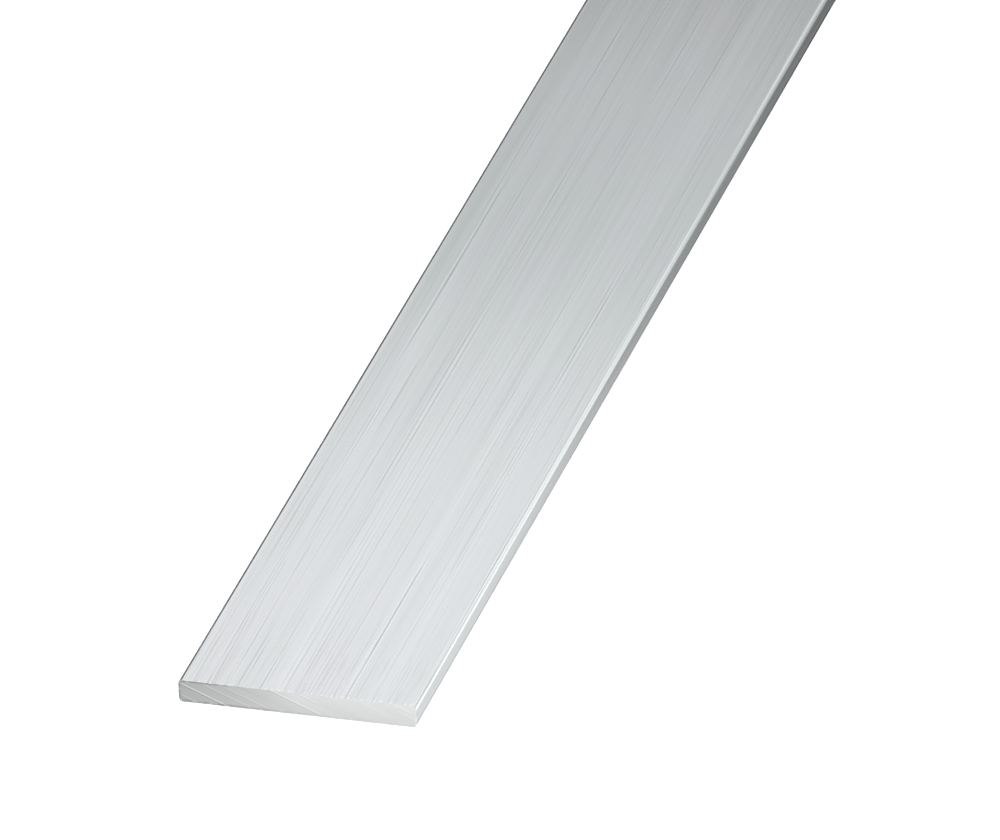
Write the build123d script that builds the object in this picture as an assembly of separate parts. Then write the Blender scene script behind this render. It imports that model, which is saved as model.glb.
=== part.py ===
from build123d import *
import os

# An extruded aluminium flat bar, lying on one of its wide faces.
# X is across the bar, Y is along it and Z is up. The origin is under its middle.
# Sizes are in millimetres.

width = 30.0
thickness = 3.0
corner_radius = 0.5     # the extrusion die rounds the long edges
length = 1000.0         # sawn square at each end


def bar_section(plane):
    """The outline of the die's opening: a rectangle with rounded corners."""
    return plane * RectangleRounded(width, thickness, corner_radius)


def flat_bar():
    """The bar as it leaves the saw: one section, pressed straight for its whole length."""
    near_end = Plane(
        origin=(0, -length / 2, thickness / 2),
        x_dir=(1, 0, 0),
        z_dir=(0, 1, 0),
    )
    return extrude(bar_section(near_end), amount=length)


os.makedirs("parts", exist_ok=True)

bar = flat_bar()
bar.label = "flat_bar"
export_step(bar, "parts/flat_bar.step")
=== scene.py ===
"""A mill-finish aluminium flat bar: the extruded skin, its die lines and its sawn ends."""
import math

import bpy
import numpy as np
from mathutils import Matrix, Vector


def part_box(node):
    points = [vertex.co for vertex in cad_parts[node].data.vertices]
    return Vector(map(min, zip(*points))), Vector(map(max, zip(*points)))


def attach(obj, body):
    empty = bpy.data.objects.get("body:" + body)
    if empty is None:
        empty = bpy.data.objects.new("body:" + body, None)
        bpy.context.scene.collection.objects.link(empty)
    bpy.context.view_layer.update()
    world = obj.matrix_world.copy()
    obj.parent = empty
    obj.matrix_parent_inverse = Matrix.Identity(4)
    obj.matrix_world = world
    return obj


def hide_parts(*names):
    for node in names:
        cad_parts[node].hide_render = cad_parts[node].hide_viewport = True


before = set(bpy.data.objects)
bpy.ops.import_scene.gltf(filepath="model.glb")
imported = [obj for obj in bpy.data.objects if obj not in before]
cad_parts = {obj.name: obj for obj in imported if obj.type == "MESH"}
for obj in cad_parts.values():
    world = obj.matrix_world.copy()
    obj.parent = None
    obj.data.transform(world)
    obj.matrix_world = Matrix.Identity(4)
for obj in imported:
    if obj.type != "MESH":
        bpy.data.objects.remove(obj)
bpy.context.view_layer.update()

MM = 0.001

# The bar's own sizes come from the frame
low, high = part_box("flat_bar")
width, length, thickness = high - low
half_length = length / 2
near_end = low.y
corner_radius = 0.5 * MM

# How finely the bar is divided: columns across it, stations along it, rows up its side
columns = 232
stations = 148
rows = 36
lane = width / columns
row_gap = thickness / rows
end_loops = 6             # stations set close together behind each sawn end
first_loop = 0.06 * MM    # the first of them is this far from the end
loop_growth = 2.4         # and each next gap is this much wider
tolerance = 1e-6          # a point this close to a side of the block lies on it

# Fine relief
line_depth = 0.003 * MM   # the die's own lines
mark_depth = 0.008 * MM   # a mark whose depth is given as 1
mark_lip = 0.45           # the raised lips beside a mark, as a share of its depth
lip_height = 0.010 * MM   # the wide faces sink by this much inside a lip along each edge
lip_slope = (0.55 * MM, 0.85 * MM)    # where the lip starts to fall and is gone, from the edge
rim_line = 0.53 * MM      # how far in from the edge a raised line runs along the lip, painted bright as a highlight
rim_line_rise = 0.4       # and how high it is, as a share of a deep mark, which also sets how much brighter it is painted
side_crown = 0.024 * MM   # the sides bulge by this much between their roundings
crown_slope = 0.16 * MM   # and fall away over this height next to each rounding
saw_depth = 0.03 * MM     # the deepest tooth mark
worn_edge = 0.07 * MM     # how far a sawn end's edge is worn back at most
crease = math.radians(35)             # edges sharper than this aren't smoothed

# Stray marks, all over the skin
stray_length = 34.0       # a mark's length in millimetres
stray_shift = 9           # columns are out of step by up to this many lengths
stray_depth = 0.29        # how deep the deepest is, as a share of a deep mark
clean_share = 0.985       # the share of lengths with no mark on it,
less_in_patch = 0.07      # which is this much less where marks gather
less_near_end = 0.06      # and this much less close to the sawn ends

# Marks drawn into the skin near the first end, in millimetres: how far to the right
# of the middle, how far from the sawn end, how long, and how deep, 1 for a deep one
score_marks = (
    (6.10, -2, 40, 1.00), (2.86, -2, 58, 0.25), (1.10, -3, 24, 0.35), (1.70, -3, 26, 0.22),
    (-0.25, -3, 25, 0.30), (-1.71, -2, 38, 0.36), (-2.36, -2, 40, 0.26), (-4.60, -3, 22, 0.50),
    (-7.00, -3, 18, 0.35), (-8.77, -1, 40, 0.30), (-11.40, 3, 30, 0.36), (-13.00, -3, 20, 0.42),
    (-0.81, 7, 87, 0.34), (8.92, 15, 27, 0.20), (7.25, 36, 23, 0.26), (-7.19, 36, 37, 0.36),
    (9.80, 47, 30, 0.40), (6.20, 50, 32, 0.40), (-1.81, 49, 27, 0.26), (-4.82, 43, 54, 0.48),
    (-10.45, 50, 28, 0.30), (-12.80, 45, 64, 0.22), (-4.10, 54, 46, 0.52), (4.87, 64, 50, 0.34),
    (10.21, 60, 33, 0.24), (13.64, 68, 31, 0.36), (9.55, 78, 36, 0.66), (9.05, 77, 35, 0.34),
    (2.38, 75, 34, 0.20), (-11.22, 86, 46, 0.74), (-8.65, 102, 36, 0.22), (-2.80, 105, 27, 0.28),
    (-4.35, 106, 34, 0.54), (11.45, 106, 21, 0.28), (-11.85, 121, 28, 0.30), (4.03, 141, 27, 0.38),
    (-5.52, 147, 31, 0.44), (6.24, 149, 29, 0.38), (0.91, 151, 27, 0.56), (-8.40, 153, 25, 0.58),
    (15.00, -3, 38, 1.20), (14.60, 20, 68, 0.45),
)
mark_before = 1           # a mark begins this far before its start
mark_grows = 5            # is at its full depth this far past it
mark_fades = 7            # and fades out over this length

# The saw: its blade crosses the end on a slant and leaves straight marks, which come
# down by this much for each millimetre to the right
saw_slope = 0.425
tooth_pitch = 0.52 * MM

# Deep tooth marks, in millimetres: how high the mark's line crosses the end's middle,
# half the mark's width, how bright it is painted and how high its bump, and where it starts and
# ends across the bar.
# The end is painted a little brighter above the main one
main_mark = 1.59
tooth_marks = (
    (-5.26, 0.09, 0.28, -15.5, -12.0), (-3.68, 0.11, 0.38, -15.5, -8.0),
    (-2.28, 0.15, 0.14, -13.0, -5.8), (-1.20, 0.12, 0.12, -10.0, -3.0),
    (main_mark, 0.12, 0.24, -4.5, 3.6), (3.02, 0.14, 0.22, -0.8, 3.4),
    (6.10, 0.14, 0.06, 7.0, 12.5), (7.36, 0.12, 0.14, 12.2, 15.5),
    (8.09, 0.12, 0.14, 11.0, 15.5),
)
mark_fade = 1.5           # a tooth mark comes in and goes out over this length
shadow_drop = 0.21        # its painted shadow lies this far below it
shadow_reach = 0.13       # and reaches this far to both sides

# The cards that the metal mirrors: their heights, and how far out the right one stands
card_top = 0.12
card_bottom = -0.15
card_right = 0.13

# The flat map: the skin lies in two strips and the ends above them, in parts of the map
strip_wide = 0.485
strip_high = 0.93
second_strip = 0.505
map_margin = (0.003, 0.002)
end_low = 0.945
end_high = 0.05
girth_all = 66.0          # what a strip's width holds, a little more than the girth in millimetres

# The photograph's view of the bar
view_azimuth = math.radians(17.52)
view_elevation = math.radians(29.22)
view_roll = math.radians(2.55)
view_distance = 2.900
view_lens = 848.3
aim = Vector((5.20 * MM, near_end + 69.90 * MM, high.z + 0.04 * MM))


class Value:
    """A socket that takes part in Python sums. Each sum adds its own Math node."""

    def __init__(self, sketch, socket):
        self.sketch = sketch
        self.socket = socket

    def maths(self, operation, *others, clamp=False):
        settings = {"operation": operation, "use_clamp": clamp}
        inputs = dict(enumerate((self, *others)))
        return self.sketch.add("ShaderNodeMath", settings, inputs)

    def __add__(self, other):
        return self.maths("ADD", other)

    def __sub__(self, other):
        return self.maths("SUBTRACT", other)

    def __rsub__(self, other):
        return self.sketch.value(other).maths("SUBTRACT", self)

    def __mul__(self, other):
        return self.maths("MULTIPLY", other)

    def __truediv__(self, other):
        return self.maths("DIVIDE", other)

    def __abs__(self):
        return self.maths("ABSOLUTE")

    def __pow__(self, other):
        return self.maths("POWER", other)

    __radd__ = __add__
    __rmul__ = __mul__

    def least(self, other):
        return self.maths("MINIMUM", other)

    def most(self, other):
        return self.maths("MAXIMUM", other)

    def above(self, other):
        return self.maths("GREATER_THAN", other)

    def below(self, other):
        return self.maths("LESS_THAN", other)

    def clipped(self):
        return self.maths("ADD", 0.0, clamp=True)

    def ramp(self, start, end):
        """0 at start, 1 at end, straight between and level outside."""
        return ((self - start) / (end - start)).clipped()

    def near(self, place, reach):
        """1 at the place, falling to 0 at this reach on both sides of it."""
        return (1 - abs(self - place) / reach).clipped()


class Sketch:
    """A node tree with one way to add a node: its type, its settings and its inputs."""

    def __init__(self, tree):
        self.tree = tree

    def add(self, kind, settings=None, inputs=None, output=0):
        node = self.tree.nodes.new(kind)
        for name, setting in (settings or {}).items():
            if name == "stops":
                self.set_stops(node.color_ramp.elements, setting)
            else:
                setattr(node, name, setting)
        for key, value in (inputs or {}).items():
            self.feed(node.inputs[key], value)
        return Value(self, node.outputs[output])

    def feed(self, socket, value):
        """Link a value to a socket, or set the socket to a plain number."""
        if isinstance(value, Value):
            self.tree.links.new(value.socket, socket)
        else:
            socket.default_value = value

    def set_stops(self, elements, stops):
        while len(elements) < len(stops):
            elements.new(1.0)
        for element, (place, colour) in zip(elements, stops):
            element.position = place
            element.color = colour

    def value(self, number):
        """A number with a node of its own."""
        constant = self.add("ShaderNodeValue")
        constant.socket.default_value = number
        return constant

    def vector(self, x, y, z):
        return self.add("ShaderNodeCombineXYZ", inputs={0: x, 1: y, 2: z})

    def parts(self, vector):
        """The x, y and z of a vector."""
        split = self.add("ShaderNodeSeparateXYZ", inputs={0: vector})
        outputs = split.socket.node.outputs
        return [Value(self, outputs[i]) for i in range(3)]

    def noise(self, x, y, z):
        """Smooth noise from 0 to 1, with one bump for each unit of x, y and z."""
        settings = {"noise_dimensions": "3D", "normalize": True}
        inputs = {"Vector": self.vector(x, y, z), "Scale": 1.0, "Detail": 0.0}
        return self.add("ShaderNodeTexNoise", settings, inputs)

    def dice(self, x, y):
        """A random number from 0 to 1 that belongs to this x and y."""
        return self.add("ShaderNodeTexWhiteNoise", {"noise_dimensions": "2D"},
                        {"Vector": self.vector(x, y, 0.0)})

    def profile(self, value, points):
        """A colour that goes from point to point. Each point is a place and its colour."""
        first, last = points[0][0], points[-1][0]
        stops = [((place - first) / (last - first), colour) for place, colour in points]
        return self.add("ShaderNodeValToRGB", {"stops": stops}, {0: value.ramp(first, last)})

    def mix(self, share, first, second):
        """One colour turning into another."""
        settings = {"data_type": "RGBA"}
        inputs = {0: share, 6: first, 7: second}    # the factor and the two colours
        return self.add("ShaderNodeMix", settings, inputs, output=2)

    def scaled(self, colour, factor):
        """A colour made brighter or darker."""
        return self.add("ShaderNodeVectorMath", {"operation": "SCALE"},
                        {0: colour, "Scale": factor})


def grey(level):
    """A colour with no tint."""
    return (level, level, level, 1.0)


def tint(level, red, blue):
    """A light's colour: nearly grey, with a little less or more of red and of blue."""
    return (level * red, level, level * blue, 1.0)


def saw_height(x, z):
    """How high the saw mark through this point of the end crosses the end's middle."""
    return z + saw_slope * x


def stray_mark(sketch, column, run, rare):
    """How deep a stray mark is: a column is cut in lengths, and a few of them are marked."""
    place = run / stray_length + sketch.dice(column, 0.5) * stray_shift
    turn = place.maths("FLOOR")
    part = place - turn
    depth = ((sketch.dice(column, turn) - rare) / (1 - rare)).clipped()
    return depth * part.ramp(0.0, 0.25) * part.ramp(1.0, 0.7)


def name_sockets(tree):
    """Give the tree its sizes, counts and materials as named inputs."""
    inputs = {
        "NodeSocketGeometry": ("Geometry",),
        "NodeSocketFloat": ("Width", "Thickness", "Length", "Corner radius", "Line depth",
                            "Mark depth", "Lip height", "Side crown", "Saw depth", "Worn edge"),
        "NodeSocketInt": ("Columns", "Rows", "Stations"),
        "NodeSocketMaterial": ("Skin", "Sawn"),
    }
    for kind, names in inputs.items():
        for name in names:
            tree.interface.new_socket(name, in_out="INPUT", socket_type=kind)
    tree.interface.new_socket("Geometry", in_out="OUTPUT", socket_type="NodeSocketGeometry")


class Block:
    """The fine box before it is bent: where its points are, and which side each is on."""

    def __init__(self, sketch, given):
        self.sketch = sketch
        self.x, self.y, self.z = sketch.parts(sketch.add("GeometryNodeInputPosition"))
        self.long = given["Length"]
        self.radius = given["Corner radius"]
        self.edge_x = given["Width"] / 2
        self.edge_z = given["Thickness"] / 2
        self.end = self.y.maths("SIGN")
        self.rim_x = abs(self.x).above(self.edge_x - tolerance)
        self.rim_z = abs(self.z).above(self.edge_z - tolerance)
        self.on_top = self.z.above(self.edge_z - tolerance)
        self.on_skin = self.rim_x.most(self.rim_z)
        self.on_end = abs(self.y).above(self.long / 2 - tolerance)
        self.from_end = self.spread_stations(given["Stations"])
        self.along = self.end * (self.long / 2 - self.from_end)

    def spread_stations(self, stations):
        """How far each is from its end: a few close behind it, the rest evenly spread."""
        gaps = stations - 1
        count = (0.5 - abs(self.y) / self.long) * gaps
        loops = first_loop / (loop_growth - 1)
        near_steps = count.least(end_loops)
        near_part = (self.sketch.value(loop_growth) ** near_steps - 1) * loops
        loop_zone = loops * (loop_growth ** end_loops - 1)
        step = (self.long / 2 - loop_zone) / (gaps / 2 - end_loops)
        return near_part + (count - end_loops).most(0) * step

    def noise(self, wide, long, seed):
        """Noise on the skin, with bumps of this width and this length."""
        up = self.z / wide + seed
        return self.sketch.noise(self.x / wide, self.along / long, up)


def drawn_marks(block, run):
    """Marks on the top face: each is one column wide, with a raised lip on both sides."""
    marks = block.sketch.value(0.0)
    for across, start, reach, depth in score_marks:
        column = round(across * MM / lane) * lane
        stop = start + reach
        span = (run.ramp(start - mark_before, start + mark_grows)
                * run.ramp(stop, stop - mark_fades))
        groove = (block.x.near(column, lane)
                  - mark_lip * abs(block.x - column).near(2 * lane, lane))
        marks = marks + groove * span * depth
    return marks * block.on_top


def stray_marks(block, run, patch):
    """Marks all over the skin, in clusters, with more of them close to the sawn ends."""
    x, z, rim_x = block.x, block.z, block.rim_x

    # Every column has a number of its own, on each of the four sides
    column = ((x / lane + z.maths("SIGN") * 1000) * (1 - rim_x)
              + (z / row_gap + x.maths("SIGN") * 2000) * rim_x).maths("ROUND")
    rare = (clean_share - less_in_patch * patch.ramp(0.42, 0.60)
            - less_near_end * (block.from_end / MM).ramp(32, 8))
    return (stray_mark(block.sketch, column, run, rare)
            - mark_lip * stray_mark(block.sketch, column - 2, run, rare)
            - mark_lip * stray_mark(block.sketch, column + 2, run, rare))


def skin_score(block, patch):
    """How deeply each point of the skin is marked."""
    run = (block.along + block.long / 2) / MM
    # A raised line along each lip, which the score's tone also paints as a highlight
    raised_line_and_painted_highlight = abs(block.x).near(width / 2 - rim_line, lane) * block.rim_z
    return (drawn_marks(block, run) + stray_marks(block, run, patch) * stray_depth
            - raised_line_and_painted_highlight * rim_line_rise)


def skin_sunk(block, given, score, patch):
    """How far the skin lies inside the die's section."""
    edge_x, edge_z, radius = block.edge_x, block.edge_z, block.radius
    starts, gone = lip_slope
    lip = abs(block.x).ramp(edge_x - starts, edge_x - gone) * block.rim_z
    high = abs(block.z).ramp(edge_z - radius - crown_slope, edge_z - radius)
    out = abs(block.x).ramp(edge_x - radius, edge_x)
    crown = (block.rim_x * high).most(block.rim_z * out)
    thin = block.noise(0.19 * MM, 22 * MM, 7.3)
    lines = thin.ramp(0.55, 0.8) * patch
    return (given["Lip height"] * lip + given["Side crown"] * crown
            + given["Line depth"] * lines * block.on_skin
            + given["Mark depth"] * score * block.on_skin)


def edge_left(block, given):
    """What the saw leaves of the section's edge at each end, which is worn back unevenly."""
    x, z, end = block.x, block.z, block.end
    nick = block.sketch.noise(x / (0.9 * MM), end * 2.7, z / (0.9 * MM) + 4.1)
    fray = block.sketch.noise(x / (0.3 * MM), end * 5.3, z / (0.3 * MM) + 9.2)
    worn = 0.35 + 0.65 * nick.ramp(0.42, 0.62) * fray.ramp(0.35, 0.6)
    return 1 - given["Worn edge"] * worn / block.radius * block.on_end


def tooth_cut(block, given):
    """How deep the saw's teeth cut each end: straight lines on the saw's slant."""
    x, end = block.x, block.end
    stroke = saw_height(x, block.z + block.edge_z) / tooth_pitch
    tooth = block.sketch.noise(stroke * 0.9, x / (9 * MM), end * 3.1)
    ridge = block.sketch.noise(stroke * 2.3, x / (14 * MM), end * 9.1 + 4)
    relief = tooth.ramp(0.3, 0.7) * 0.6 + ridge.ramp(0.55, 0.72) * 0.4
    return (1 - relief) * given["Saw depth"] * block.on_end


def bent_place(block, given, sunk):
    """Where each point goes: squares about the four corners' centres become circles."""
    inner_x = block.x.maths("SIGN") * abs(block.x).least(block.edge_x - block.radius)
    inner_z = block.z.maths("SIGN") * abs(block.z).least(block.edge_z - block.radius)
    out_x = block.x - inner_x
    out_z = block.z - inner_z
    span = (out_x * out_x + out_z * out_z).maths("SQRT").most(1e-9)    # never 0
    reach = abs(out_x).most(abs(out_z)) * edge_left(block, given) - sunk
    return block.sketch.vector(
        inner_x + out_x / span * reach,
        block.along - block.end * tooth_cut(block, given),
        inner_z + out_z / span * reach + block.edge_z,
    )


def bar_tree():
    """The rule of the bar's shape: a fine box bent into the die's section, with its lines."""
    tree = bpy.data.node_groups.new("bar_from_die", "GeometryNodeTree")
    tree.is_modifier = True
    name_sockets(tree)
    sketch = Sketch(tree)
    given = {socket.name: Value(sketch, socket)
             for socket in tree.nodes.new("NodeGroupInput").outputs}

    box = sketch.add("GeometryNodeMeshCube", inputs={
        "Size": sketch.vector(given["Width"], given["Length"], given["Thickness"]),
        "Vertices X": given["Columns"],
        "Vertices Y": given["Stations"],
        "Vertices Z": given["Rows"],
    })
    block = Block(sketch, given)
    patch = block.noise(1.9 * MM, 45 * MM, 2.9)
    score = skin_score(block, patch)
    sunk = skin_sunk(block, given, score, patch)

    scored = sketch.add("GeometryNodeStoreNamedAttribute",
                        {"data_type": "FLOAT", "domain": "POINT"},
                        {"Geometry": box, "Name": "score", "Value": score})

    # A face that looks along the bar is on a sawn end
    facing = sketch.parts(sketch.add("GeometryNodeInputNormal"))[1]
    sorted_faces = sketch.add("GeometryNodeStoreNamedAttribute",
                              {"data_type": "BOOLEAN", "domain": "FACE"},
                              {"Geometry": scored, "Name": "sawn",
                               "Value": abs(facing).above(0.7)})

    shaped = sketch.add("GeometryNodeSetPosition", inputs={
        "Geometry": sorted_faces, "Position": bent_place(block, given, sunk)})
    angle = sketch.add("GeometryNodeInputMeshEdgeAngle")
    smooth = sketch.add("GeometryNodeSetShadeSmooth", {"domain": "EDGE"}, {
        "Geometry": shaped, "Shade Smooth": angle.below(crease)})

    real = sketch.add("GeometryNodeRealizeInstances", inputs={"Geometry": smooth})
    skinned = sketch.add("GeometryNodeSetMaterial", inputs={
        "Geometry": real, "Material": given["Skin"]})
    sawn_faces = sketch.add("GeometryNodeInputNamedAttribute", {"data_type": "BOOLEAN"},
                            {"Name": "sawn"})
    sawn = sketch.add("GeometryNodeSetMaterial", inputs={
        "Geometry": skinned, "Selection": sawn_faces, "Material": given["Sawn"]})
    result = tree.nodes.new("NodeGroupOutput")
    tree.links.new(sawn.socket, result.inputs[0])
    return tree


def new_material(name):
    """A material, with a way to add nodes to it, and its shader."""
    material = bpy.data.materials.new(name)
    material.use_nodes = True
    sketch = Sketch(material.node_tree)
    shader = material.node_tree.nodes["Principled BSDF"]
    return material, sketch, shader


def object_place(sketch):
    """Where a point is on its own object: x, y and z."""
    return sketch.parts(sketch.add("ShaderNodeTexCoord", output=3))


def skin_material():
    """The extruded skin: silver-grey, satin, with fine lines along the bar."""
    material, sketch, shader = new_material("mill_skin")
    across, along, up = (part / MM for part in object_place(sketch))
    score = sketch.add("ShaderNodeAttribute", {"attribute_name": "score"}, output=2)

    def streaks(fine, long, seed):
        """Noise drawn out along the bar: so many to the millimetre, each so long."""
        return sketch.noise(across * fine, along / long, up * fine + seed)

    # Hairlines come in bundles, with clean metal between them
    bundle = streaks(0.8, 38.0, 3.0)
    hair = streaks(6.0, 34.0, 0.0)
    thread = streaks(2.4, 44.0, 5.0)
    band = streaks(0.5, 120.0, 11.0)
    hairline = hair.ramp(0.62, 0.74) * bundle.ramp(0.42, 0.62)

    # Behind each sawn end the saw's chips have rubbed short, dense hairlines
    to_end = half_length / MM - abs(along)
    rubbed = streaks(4.4, 8.0, 8.0).ramp(0.58, 0.78) * to_end.ramp(26.0, 4.0)

    # Painted highlight: the glints of the saw's burr, here and there along the edge of the end,
    # painted in as a lighter tone
    painted_burr_glint = sketch.noise(across * 2.4, 30.0, 0.0).ramp(0.50, 0.62) * to_end.ramp(0.55, 0.35)

    # A mark's strength comes and goes along it
    score = score * (0.5 + 0.9 * streaks(2.0, 7.0, 20.0).ramp(0.28, 0.72))

    # Lines take some of the metal's brightness. The marks are real grooves, and their depth is
    # also painted in as shade in the grooves and as highlight on their raised lips; the burr's
    # painted glints add a little
    tone = (1.0 - 0.30 * score - 0.08 * hairline - 0.09 * rubbed
            + 0.08 * (thread - 0.5) + 0.10 * (band - 0.5) + 0.10 * painted_burr_glint)
    tinge = streaks(0.22, 14.0, 40.0).ramp(0.40, 0.65)
    greenish = (0.883, 0.896, 0.903, 1.0)
    bluish = (0.889, 0.895, 0.909, 1.0)
    metal = sketch.mix(tinge, greenish, bluish)
    sketch.feed(shader.inputs["Base Color"], sketch.scaled(metal, tone))
    sketch.feed(shader.inputs["Metallic"], 1.0)
    rough = 0.20 + 0.05 * (thread - 0.5) + 0.06 * hairline + 0.08 * score.most(0.0)
    sketch.feed(shader.inputs["Roughness"], rough)
    lines = 0.35 * (thread - 0.5) - 0.7 * hairline - 0.6 * rubbed
    bump = sketch.add("ShaderNodeBump", inputs={
        "Strength": 1.0, "Distance": 0.004 * MM, "Height": lines})
    sketch.feed(shader.inputs["Normal"], bump)
    return material


def sawn_material():
    """The sawn end: duller, faintly green-grey, with painted shade that darkens it towards its
    left.
    """
    material, sketch, shader = new_material("sawn_end")
    x, _, z = object_place(sketch)
    across = x / MM
    up = z / MM
    height = saw_height(x, z) / MM
    # Painted shade: the end is painted darker to its left, lighter towards its top on its right
    # part, and a little brighter above the main tooth mark
    light = sketch.profile(across, (
        (-15.0, grey(0.56)), (-10.0, grey(0.62)), (-6.0, grey(0.70)), (-3.0, grey(0.75)),
        (0.0, grey(0.79)), (6.0, grey(0.80)), (15.0, grey(0.83))))
    level = (sketch.parts(light)[0]
             + 0.05 * height.ramp(main_mark - 0.15, main_mark + 0.10)
             + 0.035 * (up - 0.5) * across.ramp(-4.0, 0.0))
    fine = sketch.noise(height * 3.1, across / 16.0, 3.0)

    # Each deep tooth mark is a line in the bump, painted bright as a highlight, with a painted
    # shadow below it
    marks = sketch.value(0.0)
    for crossing, reach, bright, start, stop in tooth_marks:
        span = across.ramp(start, start + mark_fade) * across.ramp(stop, stop - mark_fade)
        shadow = 0.4 * height.near(crossing - shadow_drop, shadow_reach)
        marks = marks + (height.near(crossing, reach) - shadow) * span * bright

    # Broken dark rims along the bottom, the left end and the left half of the top edge
    grain = sketch.noise(across * 1.4, z / (0.5 * MM), 12.0)
    bottom = up.ramp(0.42, 0.14) * (0.3 + 0.7 * across.ramp(0.0, -9.0)) * across.ramp(12.0, 0.0)
    left = across.ramp(-14.6, -14.9)
    top = up.ramp(2.66, 2.86) * across.ramp(-7.0, -10.0)
    rim = (bottom + left + top).clipped() * grain.ramp(0.30, 0.50)

    shade = level * (1.0 + 0.06 * (fine - 0.5)) * (1 - 0.38 * rim) + marks
    sawn_grey = (0.852, 0.853, 0.857)
    sketch.feed(shader.inputs["Base Color"], sketch.scaled(sawn_grey, shade))
    sketch.feed(shader.inputs["Metallic"], 1.0)
    sketch.feed(shader.inputs["Roughness"], 0.30 + 0.06 * (fine - 0.5))
    bump = sketch.add("ShaderNodeBump", inputs={
        "Strength": 1.0, "Distance": 0.01 * MM, "Height": 0.4 * fine + 1.5 * marks})
    sketch.feed(shader.inputs["Normal"], bump)
    return material


def girth_of(x, z):
    """How far round the section a point is, in millimetres, from the bottom's left end."""
    flat_x = width - 2 * corner_radius
    flat_z = thickness - 2 * corner_radius
    arc = math.pi / 2 * corner_radius
    mid_x = np.clip(x, -flat_x / 2, flat_x / 2)
    mid_z = np.clip(z, corner_radius, corner_radius + flat_z)
    turn = np.arctan2(z - mid_z, x - mid_x) % (2 * math.pi)    # 0 to the right, a quarter up
    quarter = (turn + math.pi / 2) / (math.pi / 2) % 4          # 0 down, 1 right, 2 up, 3 left
    starts = np.cumsum([0, flat_x + arc, flat_z + arc, flat_x + arc])
    flats = (mid_x + flat_x / 2, mid_z - corner_radius,
             flat_x / 2 - mid_x, corner_radius + flat_z - mid_z)
    slack = 1e-4              # a point just short of a quarter counts as on it
    corner = np.floor(quarter + slack).astype(int) % 4
    share = np.clip(quarter - corner, 0, 1)
    flat = np.choose(corner, flats)
    return (starts[corner] + flat + share * arc) / MM


def lay_out(bar):
    """A flat map of the bar: its skin as two long strips, and its two ends above them."""
    mesh = bar.data
    points = np.empty(len(mesh.vertices) * 3)
    mesh.vertices.foreach_get("co", points)
    points = points.reshape(-1, 3)
    corners = np.empty(len(mesh.loops), int)
    mesh.loops.foreach_get("vertex_index", corners)
    corners = corners.reshape(-1, 4)          # every face has four corners
    material = np.empty(len(mesh.polygons), int)
    mesh.polygons.foreach_get("material_index", material)
    where = points[corners]
    middle = where.mean(axis=1)

    # The face that closes the ring starts at the full girth, not at 0 again
    girth = girth_of(where[..., 0], where[..., 2])
    full = girth.max()
    wraps = girth.max(axis=1, keepdims=True) - girth > (full - girth.min()) / 2
    girth = girth + wraps * full

    second = (middle[:, 1] > 0)[:, None]
    left = second_strip * second + map_margin[0]
    u = girth / girth_all * strip_wide + left
    v = (where[..., 1] + half_length * ~second) / half_length * strip_high + map_margin[1]
    end_u = (where[..., 0] / width + 0.5) * strip_wide + left
    end_v = where[..., 2] / thickness * end_high + end_low
    slots = [slot.name for slot in mesh.materials]
    is_end = (material == slots.index("sawn_end"))[:, None]
    spots = np.stack([np.where(is_end, end_u, u), np.where(is_end, end_v, v)], axis=-1)
    layer = mesh.uv_layers.new(name="OFBake")
    layer.data.foreach_set("uv", spots.ravel())


def make_bar():
    """The dressed bar, as one plain mesh."""
    tree = bar_tree()
    mesh = bpy.data.meshes.new("bar_blank")
    blank = bpy.data.objects.new("bar_blank", mesh)
    bpy.context.scene.collection.objects.link(blank)
    modifier = blank.modifiers.new("die", "NODES")
    modifier.node_group = tree
    sizes = {
        "Width": width, "Thickness": thickness, "Length": length,
        "Corner radius": corner_radius,
        "Line depth": line_depth, "Mark depth": mark_depth, "Lip height": lip_height,
        "Side crown": side_crown, "Saw depth": saw_depth, "Worn edge": worn_edge,
        "Columns": columns + 1, "Rows": rows + 1, "Stations": stations + 1,
        "Skin": skin_material(), "Sawn": sawn_material(),
    }
    for item in tree.interface.items_tree:
        if item.in_out == "INPUT" and item.name in sizes:
            modifier[item.identifier] = sizes[item.name]
    bpy.context.view_layer.update()
    seen = blank.evaluated_get(bpy.context.evaluated_depsgraph_get())
    made = bpy.data.meshes.new_from_object(seen)
    bpy.data.objects.remove(blank)
    made.name = "mill_finish_bar"
    made.materials.pop(index=0)     # an empty slot that came with the block
    bar = bpy.data.objects.new("mill_finish_bar", made)
    bpy.context.scene.collection.objects.link(bar)
    lay_out(bar)
    return bar


def plane(name, corners, material):
    """A flat card or floor, no part of the bar."""
    mesh = bpy.data.meshes.new(name)
    mesh.from_pydata(corners, [], [(0, 1, 2, 3)])
    mesh.materials.append(material)
    made = bpy.data.objects.new(name, mesh)
    bpy.context.scene.collection.objects.link(made)
    return made


def make_floor():
    """A pale floor just under the bar. The metal mirrors the cards and not the floor."""
    material, sketch, shader = new_material("pale_floor")
    sketch.feed(shader.inputs["Base Color"], grey(0.9))
    sketch.feed(shader.inputs["Roughness"], 1.0)
    sketch.feed(shader.inputs["Specular IOR Level"], 0.0)
    reach = 9.0
    drop = -0.01 * MM
    corners = [(-reach, -reach, drop), (reach, -reach, drop),
               (reach, reach, drop), (-reach, reach, drop)]
    floor = plane("floor", corners, material)
    floor.visible_glossy = False


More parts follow.
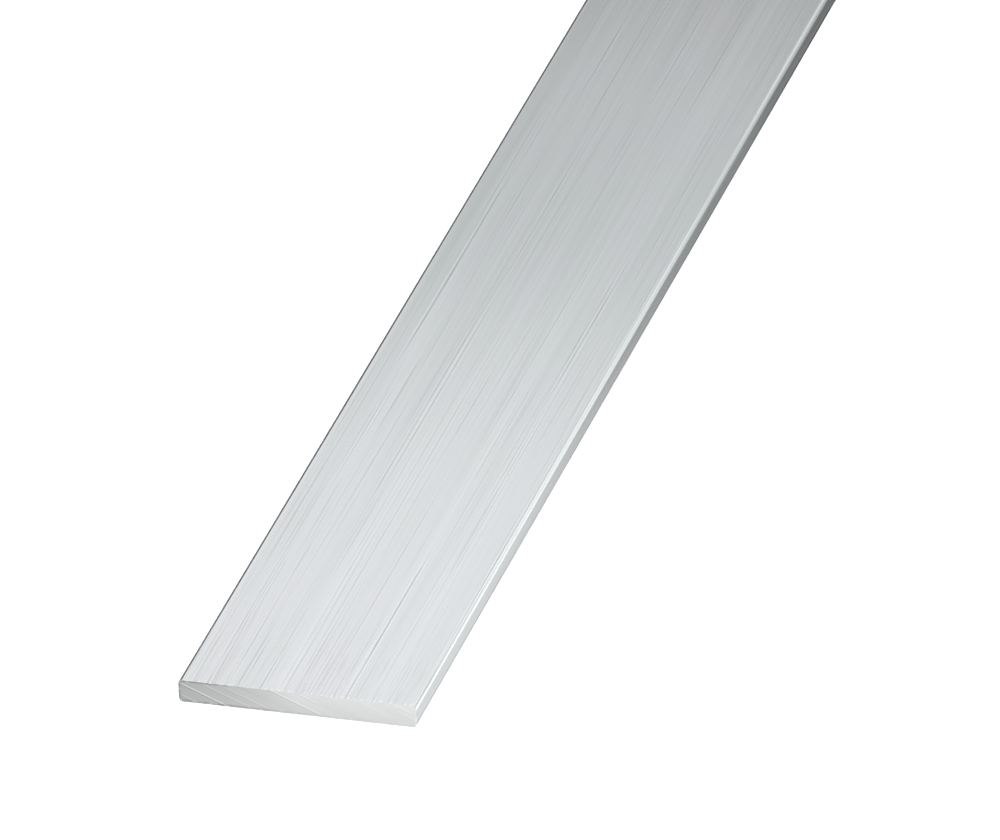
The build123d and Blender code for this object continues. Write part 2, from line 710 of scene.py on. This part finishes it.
def light_card(name, low_corner, high_corner, glow):
    """A glowing card that only reflections see. Its glow gives a colour and a strength."""
    material = bpy.data.materials.new(name)
    material.use_nodes = True
    material.node_tree.nodes.clear()
    sketch = Sketch(material.node_tree)
    x, y, z = object_place(sketch)
    colour, strength = glow(sketch, x, y, z)
    light = sketch.add("ShaderNodeEmission", inputs={"Color": colour, "Strength": strength})
    output = material.node_tree.nodes.new("ShaderNodeOutputMaterial")
    sketch.feed(output.inputs["Surface"], light)
    (x0, y0, z0), (x1, y1, z1) = low_corner, high_corner
    if x0 == x1:
        second, fourth = (x0, y1, z0), (x0, y0, z1)
    else:
        second, fourth = (x1, y0, z0), (x0, y1, z0)
    card = plane(name, [low_corner, second, high_corner, fourth], material)
    card.visible_camera = False
    card.visible_diffuse = False
    card.visible_shadow = False


def glow_above(sketch, x, y, z):
    """The card above: bright over the near end and falling off along the bar."""
    face = sketch.profile(y, (
        (-0.42, tint(0.86, 0.985, 1.01)), (-0.252, tint(0.85, 0.985, 1.01)),
        (-0.235, tint(0.76, 0.98, 1.01)), (-0.222, tint(0.81, 0.97, 1.005)),
        (-0.205, tint(0.68, 0.95, 1.0)), (-0.190, tint(0.51, 0.94, 1.0)),
        (-0.170, tint(0.48, 0.94, 1.0)), (-0.150, tint(0.70, 0.97, 1.01)),
        (-0.135, tint(0.58, 0.985, 1.01)), (-0.115, tint(0.41, 0.985, 1.01)),
        (-0.09, tint(0.34, 0.985, 1.01)), (-0.05, tint(0.36, 0.985, 1.01)),
        (0.20, tint(0.70, 0.985, 1.01)), (0.90, tint(0.60, 0.985, 1.01))))
    strip = sketch.profile(y, (
        (-0.42, tint(0.97, 0.985, 1.01)), (-0.24, tint(0.96, 0.985, 1.01)),
        (-0.19, tint(0.96, 0.97, 1.01)), (-0.17, tint(0.77, 0.96, 1.0)),
        (-0.157, tint(0.88, 0.96, 1.0)), (-0.142, tint(1.25, 0.97, 1.01)),
        (-0.128, tint(1.16, 0.97, 1.01)), (-0.09, tint(0.74, 0.98, 1.01)),
        (0.90, tint(0.60, 0.98, 1.01))))
    far = y.ramp(-0.205, -0.175)
    colour = sketch.mix((x + 0.027 * far).ramp(0.075, 0.09), face, strip)

    # The left edge mirrors a slanted band of the card, and that band is kept dark
    slant = y + 1.37 * x
    band = slant.ramp(-0.62, -0.52) * slant.ramp(-0.04, -0.14) * x.ramp(-0.09, -0.125)
    dark = 1 - band * (0.98 - 0.08 * y.ramp(-0.25, -0.12))
    edge = 0.20 * (1 - far) * x.near(0.035, 0.05) + 0.24 * far * x.near(0.0, 0.045)
    return colour, dark * (1 - edge)


def glow_below(sketch, x, y, z):
    """The card below: the pale floor as the metal's side and sawn end see it."""
    colour = sketch.profile(y, (
        (-0.70, tint(0.98, 0.975, 0.99)), (-0.40, tint(0.82, 0.975, 1.0)),
        (-0.214, tint(0.70, 0.965, 1.0)), (-0.182, tint(0.565, 0.965, 1.0)),
        (-0.167, tint(0.46, 0.965, 1.0)), (-0.146, tint(0.31, 0.965, 1.0)),
        (-0.110, tint(0.25, 0.965, 1.0)), (-0.089, tint(0.235, 0.965, 1.0)),
        (-0.060, tint(0.14, 0.965, 1.0)), (0.0, tint(0.11, 0.965, 1.0)),
        (0.35, tint(0.50, 0.97, 1.0)), (0.80, tint(0.80, 0.97, 1.0))))

    # The rounding under the right side mirrors a darker part
    under = 1 - ((0.40 + 0.6 * y.ramp(-0.16, -0.08)) * x.ramp(0.091, 0.066)
                 * x.ramp(-0.03, 0.0) * y.ramp(-0.35, -0.25))
    return colour, under


def glow_right(sketch, x, y, z):
    """A card close on the right, which the rounded edge mirrors from top to bottom."""
    upper = sketch.profile(y, (
        (-0.60, tint(0.97, 0.98, 1.0)), (-0.214, tint(0.95, 0.98, 1.0)),
        (-0.193, tint(0.81, 0.97, 1.0)), (-0.175, tint(0.72, 0.96, 1.0)),
        (-0.154, tint(0.93, 0.97, 1.0)), (-0.139, tint(0.87, 0.98, 1.0)),
        (-0.105, tint(0.57, 0.98, 1.0)), (1.40, tint(0.55, 0.98, 1.0))))
    middle = sketch.profile(y, (
        (-0.60, tint(0.66, 0.98, 1.0)), (-0.31, tint(0.68, 0.98, 1.0)),
        (-0.28, tint(0.96, 0.98, 1.0)), (-0.249, tint(1.01, 0.98, 1.0)),
        (-0.232, tint(0.83, 0.97, 1.0)), (-0.20, tint(0.645, 0.97, 1.0)),
        (-0.15, tint(0.545, 0.98, 1.0)), (1.40, tint(0.55, 0.98, 1.0))))
    lower = sketch.profile(y, (
        (-0.60, tint(1.42, 0.97, 1.0)), (-0.252, tint(1.42, 0.97, 1.0)),
        (-0.205, tint(1.28, 0.97, 1.0)), (-0.184, tint(1.08, 0.97, 1.0)),
        (-0.148, tint(0.74, 0.97, 1.0)), (-0.100, tint(0.42, 0.97, 1.0)),
        (1.40, tint(0.50, 0.97, 1.0))))
    colour = sketch.mix(z.ramp(0.03, 0.07), middle, upper)
    colour = sketch.mix(z.ramp(-0.05, -0.075), colour, lower)
    return colour, sketch.value(1.0)


def make_lights():
    """Soft white light for the floor, and cards that only the metal mirrors."""
    world = bpy.data.worlds.new("studio")
    bpy.context.scene.world = world
    world.use_nodes = True
    world.node_tree.nodes.clear()
    sketch = Sketch(world.node_tree)
    path = world.node_tree.nodes.new("ShaderNodeLightPath").outputs
    camera = Value(sketch, path["Is Camera Ray"])
    glossy = Value(sketch, path["Is Glossy Ray"])
    right, _, up = sketch.parts(sketch.add("ShaderNodeTexCoord", output=0))
    room = 0.20 + 0.38 * up.ramp(-0.2, 0.7) + 0.25 * right.ramp(0.0, 0.6)
    on_floor = 2.1
    strength = camera + (1 - camera) * (glossy * room + (1 - glossy) * on_floor)
    background = sketch.add("ShaderNodeBackground",
                            inputs={"Color": grey(1.0), "Strength": strength})
    output = world.node_tree.nodes.new("ShaderNodeOutputWorld")
    sketch.feed(output.inputs["Surface"], background)

    light_card("card_above", (-0.9, -1.6, card_top), (0.9, 1.8, card_top), glow_above)
    light_card("card_below", (-0.9, -1.6, card_bottom), (0.9, 1.8, card_bottom), glow_below)
    light_card("card_right", (card_right, -0.8, card_bottom), (card_right, 1.4, card_top),
               glow_right)


def make_camera():
    """The photograph's camera: far away, with a long lens and a slight roll."""
    camera = bpy.data.cameras.new("camera")
    camera.lens = view_lens
    camera.sensor_width = 36
    camera.clip_end = 100
    stand = bpy.data.objects.new("camera", camera)
    bpy.context.scene.collection.objects.link(stand)
    back = Vector((
        math.sin(view_azimuth) * math.cos(view_elevation),
        -math.cos(view_azimuth) * math.cos(view_elevation),
        math.sin(view_elevation),
    ))
    turn = back.to_track_quat("Z", "Y").to_matrix().to_4x4()
    roll = Matrix.Rotation(-view_roll, 4, "Z")
    stand.matrix_world = Matrix.Translation(aim + back * view_distance) @ turn @ roll
    bpy.context.scene.camera = stand


bpy.context.scene.view_settings.view_transform = "Standard"
make_camera()
make_lights()
make_floor()
bar = make_bar()
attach(bar, "root")
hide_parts("flat_bar")
